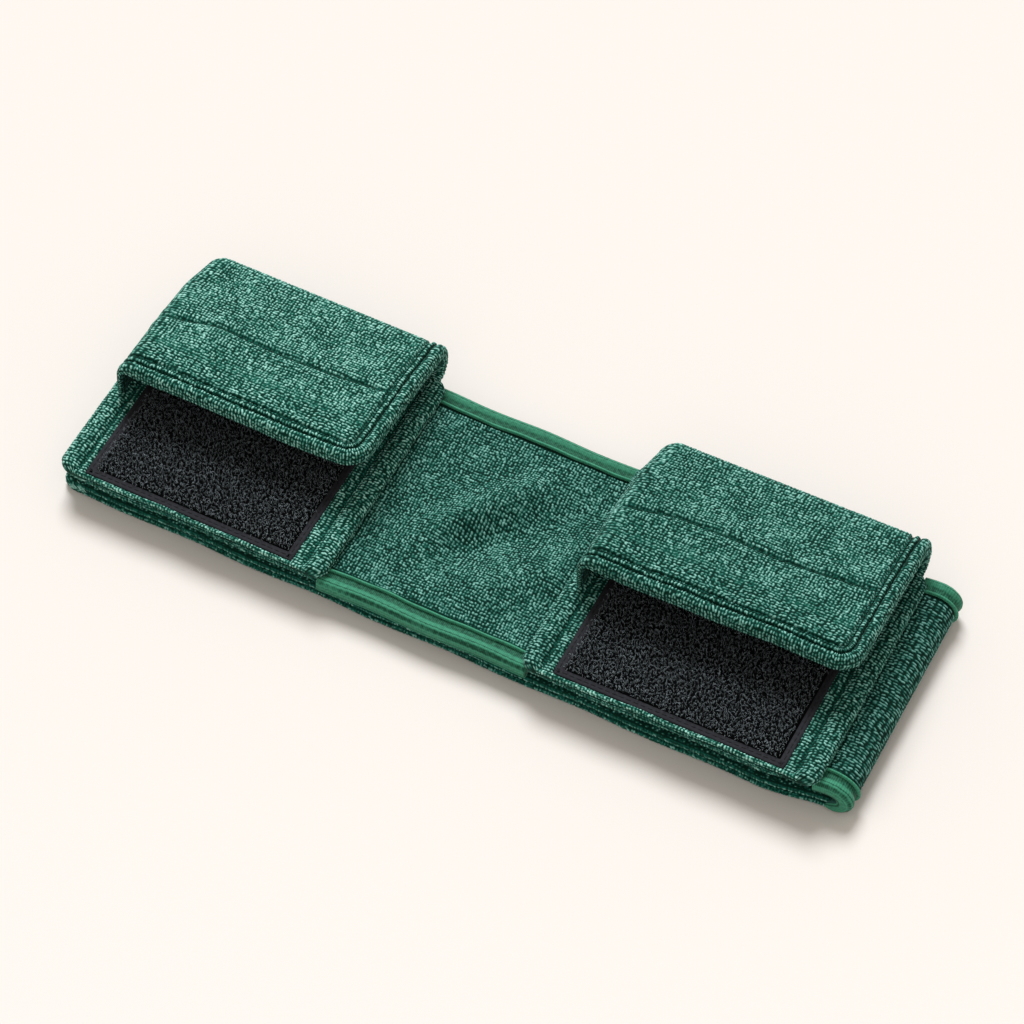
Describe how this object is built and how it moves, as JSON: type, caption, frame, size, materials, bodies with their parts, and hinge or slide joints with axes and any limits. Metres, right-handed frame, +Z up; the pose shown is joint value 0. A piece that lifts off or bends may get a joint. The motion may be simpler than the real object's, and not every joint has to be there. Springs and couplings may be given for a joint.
{
  "type": "spa headband",
  "caption": "Folded towelling headband with knit-bound edges; each tab unit has a terry pad, a hook patch and a hemmed terry flap that folds over it.",
  "frame": {"origin": "on the table, at the middle of the folded headband's box", "axes": "+X from the free ends to the fold, +Y from the hook side to the flap roll, +Z up from the table"},
  "size_m": [0.296, 0.0996, 0.0349],
  "materials": {
    "terry_outside": "looped cotton terry, matte",
    "terry_inside": "looped cotton terry, matte, inner face",
    "knit_binding": "fine ribbed knit tape, soft sheen",
    "hook_field": "moulded nylon hooks, matte",
    "hook_tape": "woven nylon tape edge",
    "hook_thread": "spun polyester thread, black",
    "sewing_thread": "spun polyester thread, green"
  },
  "bodies": {
    "upper_band": {"upper_band_face": "terry_outside", "upper_band_lining": "terry_inside", "upper_end_hem": "terry_outside", "mid_front_binding": "knit_binding", "mid_front_piping": "knit_binding", "mid_rear_binding": "knit_binding", "mid_rear_piping": "knit_binding", "end_front_binding": "knit_binding", "end_front_piping": "knit_binding", "end_rear_binding": "knit_binding", "end_rear_piping": "knit_binding", "left_pad": "terry_outside", "left_pad_start_hem": "terry_outside", "left_pad_end_hem": "terry_outside", "left_pad_piping": "terry_outside", "left_hook_tape": "hook_tape", "left_hook_stitch": "hook_thread", "left_hook_field": "hook_field", "right_pad": "terry_outside", "right_pad_start_hem": "terry_outside", "right_pad_end_hem": "terry_outside", "right_pad_piping": "terry_outside", "right_hook_tape": "hook_tape", "right_hook_stitch": "hook_thread", "right_hook_field": "hook_field"},
    "left_roll": {"left_roll_face": "terry_outside", "left_roll_lining": "terry_inside", "left_roll_hem": "terry_outside"},
    "left_flap": {"left_flap_face": "terry_outside", "left_flap_lining": "terry_inside", "left_flap_hem": "terry_outside", "left_flap_side_turn": "terry_outside", "left_flap_hem_stitch": "sewing_thread", "left_flap_seam_stitch": "sewing_thread"},
    "right_roll": {"right_roll_face": "terry_outside", "right_roll_lining": "terry_inside", "right_roll_hem": "terry_outside"},
    "right_flap": {"right_flap_face": "terry_outside", "right_flap_lining": "terry_inside", "right_flap_hem": "terry_outside", "right_flap_side_turn": "terry_outside", "right_flap_hem_stitch": "sewing_thread", "right_flap_seam_stitch": "sewing_thread"},
    "fold": {"fold_face": "terry_outside", "fold_lining": "terry_inside", "fold_front_binding": "knit_binding", "fold_rear_binding": "knit_binding"},
    "lower_band": {"lower_band_face": "terry_inside", "lower_band_lining": "terry_inside", "lower_end_hem": "terry_inside"}
  },
  "joints": [
    {"name": "left_flap_open", "type": "hinge", "parent": "upper_band", "child": "left_roll", "pos_m": [-0.0965, 0.04718, 0.0118], "axis": [-1, 0, 0], "range_deg": [0, 90]},
    {"name": "left_flap_unroll", "type": "hinge", "parent": "left_roll", "child": "left_flap", "pos_m": [-0.0965, 0.04718, 0.02435], "axis": [-1, 0, 0], "range_deg": [0, 85]},
    {"name": "right_flap_open", "type": "hinge", "parent": "upper_band", "child": "right_roll", "pos_m": [0.0834, 0.04718, 0.01307], "axis": [-0.9998, 0, -0.0222], "range_deg": [0, 90]},
    {"name": "right_flap_unroll", "type": "hinge", "parent": "right_roll", "child": "right_flap", "pos_m": [0.08313, 0.04718, 0.02562], "axis": [-0.9998, 0, -0.0222], "range_deg": [0, 85]},
    {"name": "band_unfold", "type": "hinge", "parent": "upper_band", "child": "fold", "pos_m": [0.1455, 0, 0.01045], "axis": [0, -1, 0], "range_deg": [0, 90]},
    {"name": "band_unroll", "type": "hinge", "parent": "fold", "child": "lower_band", "pos_m": [0.1455, 0, 0.0025], "axis": [0, -1, 0], "range_deg": [0, 90]}
  ],
  "couplings": [
    {"joint": "left_flap_unroll", "follows": "left_flap_open", "ratio": 0.9444},
    {"joint": "right_flap_unroll", "follows": "right_flap_open", "ratio": 0.9444},
    {"joint": "band_unroll", "follows": "band_unfold", "ratio": 1}
  ]
}
